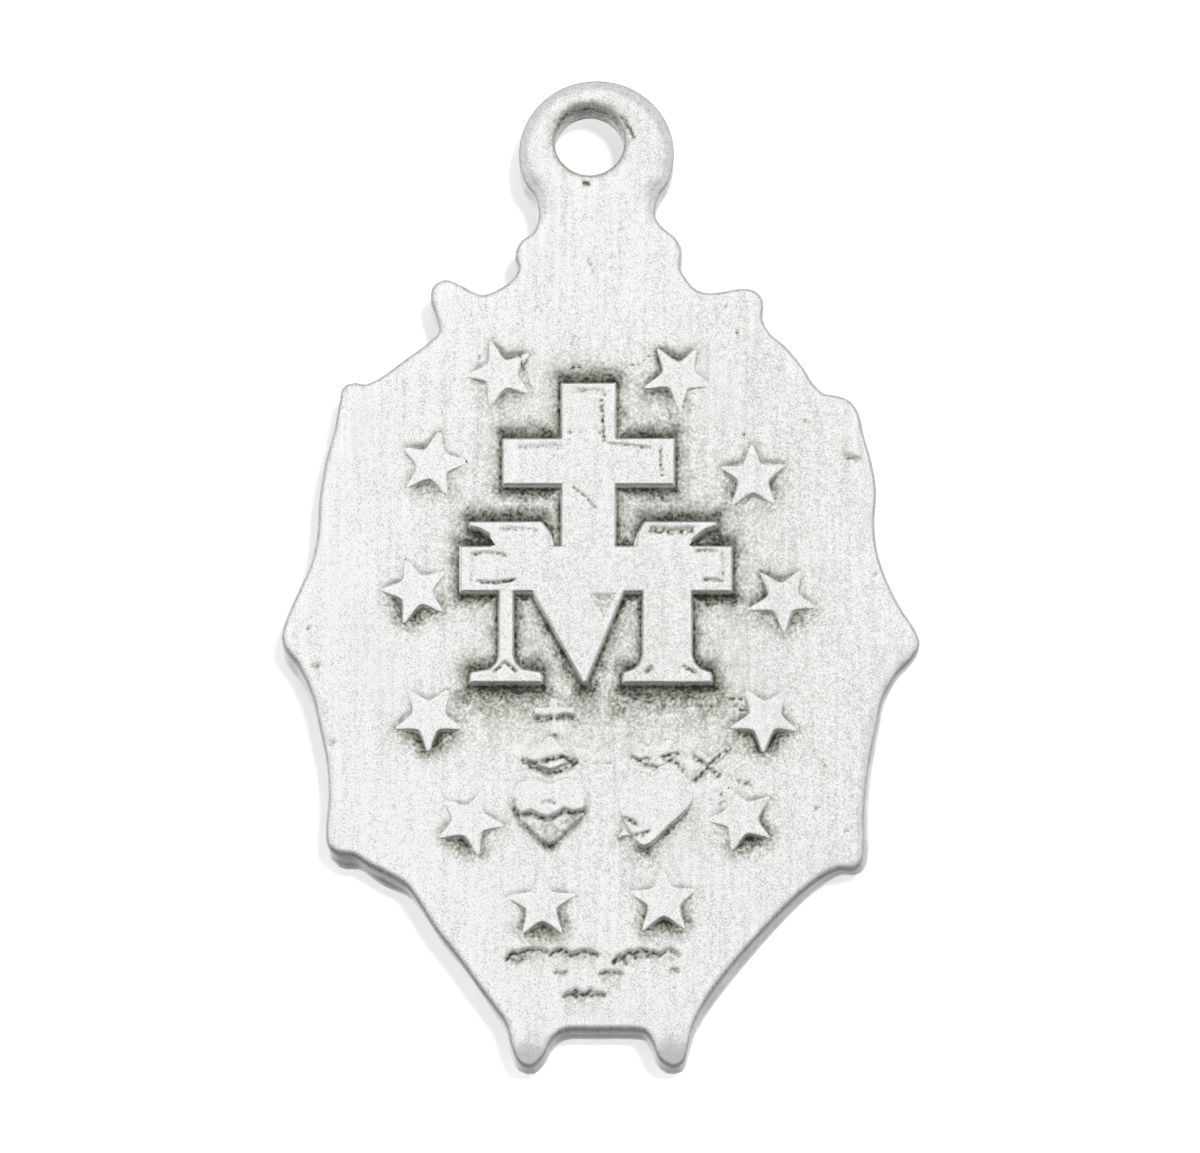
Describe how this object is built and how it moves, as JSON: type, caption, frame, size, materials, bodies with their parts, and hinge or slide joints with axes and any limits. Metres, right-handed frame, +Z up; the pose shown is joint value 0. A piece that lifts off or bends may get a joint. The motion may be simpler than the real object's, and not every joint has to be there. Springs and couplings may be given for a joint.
{
  "type": "religious medal",
  "caption": "Flat cartouche-shaped silver medal with an integral hanging loop; a cross, letter monogram, hearts and stars on its reverse and a robed figure on its obverse.",
  "frame": {"origin": "centre of the hanging hole at mid-thickness", "axes": "+Z up as the medal hangs, +X to the right seen on the reverse, +Y out of the obverse"},
  "size_m": [0.016, 0.0016, 0.0253],
  "materials": {
    "sanded_silver": "satin silver, flat sanded and finely grained, a little dark patina in the corners",
    "worn_silver": "satin silver rubbed bright on top, with dark antique patina round its foot",
    "antiqued_silver": "cast silver with dark antique patina in the hollows and rubbed high spots"
  },
  "bodies": {
    "root": {"medal_plate": "sanded_silver", "hanging_loop": "sanded_silver", "star_01": "worn_silver", "star_02": "worn_silver", "star_03": "worn_silver", "star_04": "worn_silver", "star_05": "worn_silver", "star_06": "worn_silver", "star_07": "worn_silver", "star_08": "worn_silver", "star_09": "worn_silver", "star_10": "worn_silver", "star_11": "worn_silver", "star_12": "worn_silver", "cross": "worn_silver", "cross_bar": "worn_silver", "letter_serif_left": "worn_silver", "letter_serif_right": "worn_silver", "letter_stem_left": "worn_silver", "letter_chevron": "worn_silver", "letter_stem_right": "worn_silver", "heart_left": "worn_silver", "thorn_band": "worn_silver", "flame_left": "worn_silver", "heart_cross": "worn_silver", "heart_right": "worn_silver", "flame_right": "worn_silver", "sword_hilt": "worn_silver", "sword_tip": "worn_silver", "mark_row_upper": "worn_silver", "mark_row_lower": "worn_silver", "figure_mantle": "antiqued_silver", "figure_robe": "antiqued_silver", "figure_veil": "antiqued_silver", "figure_head": "antiqued_silver", "figure_hand_left": "antiqued_silver", "figure_hand_right": "antiqued_silver", "rays_left": "antiqued_silver", "rays_right": "antiqued_silver", "globe": "antiqued_silver", "volute_ear_right": "antiqued_silver", "volute_ear_left": "antiqued_silver", "volute_shoulder_right": "antiqued_silver", "volute_shoulder_left": "antiqued_silver", "volute_flank_right": "antiqued_silver", "volute_flank_left": "antiqued_silver", "volute_corner_right": "antiqued_silver", "volute_corner_left": "antiqued_silver", "volute_foot_right": "antiqued_silver", "volute_foot_left": "antiqued_silver", "rib_upper_right": "antiqued_silver", "rib_upper_left": "antiqued_silver", "rib_lower_right": "antiqued_silver", "rib_lower_left": "antiqued_silver", "rib_foot_right": "antiqued_silver", "rib_foot_left": "antiqued_silver", "crest_shell": "antiqued_silver", "oval_rim": "antiqued_silver", "bead_ring": "antiqued_silver"}
  },
  "joints": []
}
